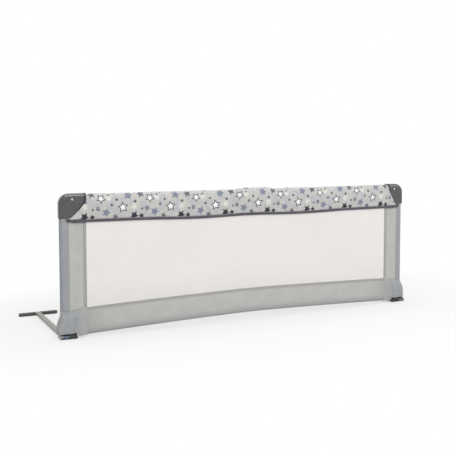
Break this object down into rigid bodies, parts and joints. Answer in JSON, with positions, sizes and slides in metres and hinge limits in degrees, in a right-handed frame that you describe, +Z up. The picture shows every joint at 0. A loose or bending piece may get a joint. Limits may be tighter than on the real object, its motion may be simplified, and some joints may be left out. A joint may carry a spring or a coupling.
{
  "type": "folding bed guard rail",
  "caption": "Tube-framed guard rail with a netting window and padded printed cover, hinged on two floor legs that slide under a mattress.",
  "frame": {"origin": "on the support under the legs, below the middle of the whole rail", "axes": "+X along the rail, +Y from the guard towards the bed, along the legs, +Z up"},
  "size_m": [1.452, 0.3816, 0.4525],
  "materials": {
    "frame_paint": "satin",
    "leg_paint": "satin",
    "black_plastic": "satin",
    "bracket_plastic": "satin",
    "crossbar_plastic": "matte",
    "zinc_plate": "satin",
    "printed_cloth": "matte",
    "piping_cloth": "matte",
    "sleeve_cloth": "matte",
    "strip_cloth": "matte",
    "hem_cloth": "matte",
    "band_cloth": "matte",
    "netting": "matte"
  },
  "bodies": {
    "leg_left": {"hinge_base_left": "black_plastic", "hinge_pin_left": "zinc_plate", "release_spring_left": "zinc_plate", "leg_arm_left": "leg_paint", "arm_rivet_left": "zinc_plate", "leg_crossbar_left": "crossbar_plastic", "crossbar_rivet_left": "zinc_plate"},
    "guard": {"top_tube_left": "frame_paint", "top_tube_right": "frame_paint", "tube_joiner": "black_plastic", "bottom_rail": "frame_paint", "padded_cover": "printed_cloth", "cover_piping": "piping_cloth", "mesh_window": "netting", "bottom_band": "band_cloth", "upright_left": "frame_paint", "corner_bracket_left": "bracket_plastic", "hinge_lug_left": "zinc_plate", "housing_front_left": "black_plastic", "housing_rear_left": "black_plastic", "housing_screw_lower_left": "zinc_plate", "housing_screw_upper_left": "zinc_plate", "upright_sleeve_left": "sleeve_cloth", "side_strip_left": "strip_cloth", "window_hem_left": "hem_cloth", "corner_pocket_left": "sleeve_cloth", "upright_right": "frame_paint", "corner_bracket_right": "bracket_plastic", "hinge_lug_right": "zinc_plate", "housing_front_right": "black_plastic", "housing_rear_right": "black_plastic", "housing_screw_lower_right": "zinc_plate", "housing_screw_upper_right": "zinc_plate", "upright_sleeve_right": "sleeve_cloth", "side_strip_right": "strip_cloth", "window_hem_right": "hem_cloth", "corner_pocket_right": "sleeve_cloth"},
    "leg_right": {"hinge_base_right": "black_plastic", "hinge_pin_right": "zinc_plate", "release_spring_right": "zinc_plate", "leg_arm_right": "leg_paint", "arm_rivet_right": "zinc_plate", "leg_crossbar_right": "crossbar_plastic", "crossbar_rivet_right": "zinc_plate"},
    "release_left": {"release_button_left": "black_plastic"},
    "release_right": {"release_button_right": "black_plastic"},
    "snap_left": {"snap_button_left": "zinc_plate"},
    "snap_right": {"snap_button_right": "zinc_plate"}
  },
  "joints": [
    {"name": "guard_fold", "type": "hinge", "parent": "leg_left", "child": "guard", "pos_m": [0, -0.18375, 0.0075], "axis": [1, 0, 0], "range_deg": [0, 180]},
    {"name": "right_leg_fold", "type": "hinge", "parent": "guard", "child": "leg_right", "pos_m": [0, -0.18375, 0.0075], "axis": [1, 0, 0], "range_deg": [-180, 0]},
    {"name": "release_press_left", "type": "slide", "parent": "leg_left", "child": "release_left", "axis": [0, 1, 0], "range_m": [0, 0.004], "stiffness_N_per_m": 1500, "springref_m": -0.002, "deforming": ["release_spring_left"]},
    {"name": "release_press_right", "type": "slide", "parent": "leg_right", "child": "release_right", "axis": [0, 1, 0], "range_m": [0, 0.004], "stiffness_N_per_m": 1500, "springref_m": -0.002, "deforming": ["release_spring_right"]},
    {"name": "snap_press_left", "type": "slide", "parent": "guard", "child": "snap_left", "axis": [0, 1, 0], "range_m": [0, 0.0065], "stiffness_N_per_m": 1000, "springref_m": -0.002},
    {"name": "snap_press_right", "type": "slide", "parent": "guard", "child": "snap_right", "axis": [0, 1, 0], "range_m": [0, 0.0065], "stiffness_N_per_m": 1000, "springref_m": -0.002}
  ],
  "couplings": [
    {"joint": "right_leg_fold", "follows": "guard_fold", "ratio": -1}
  ]
}
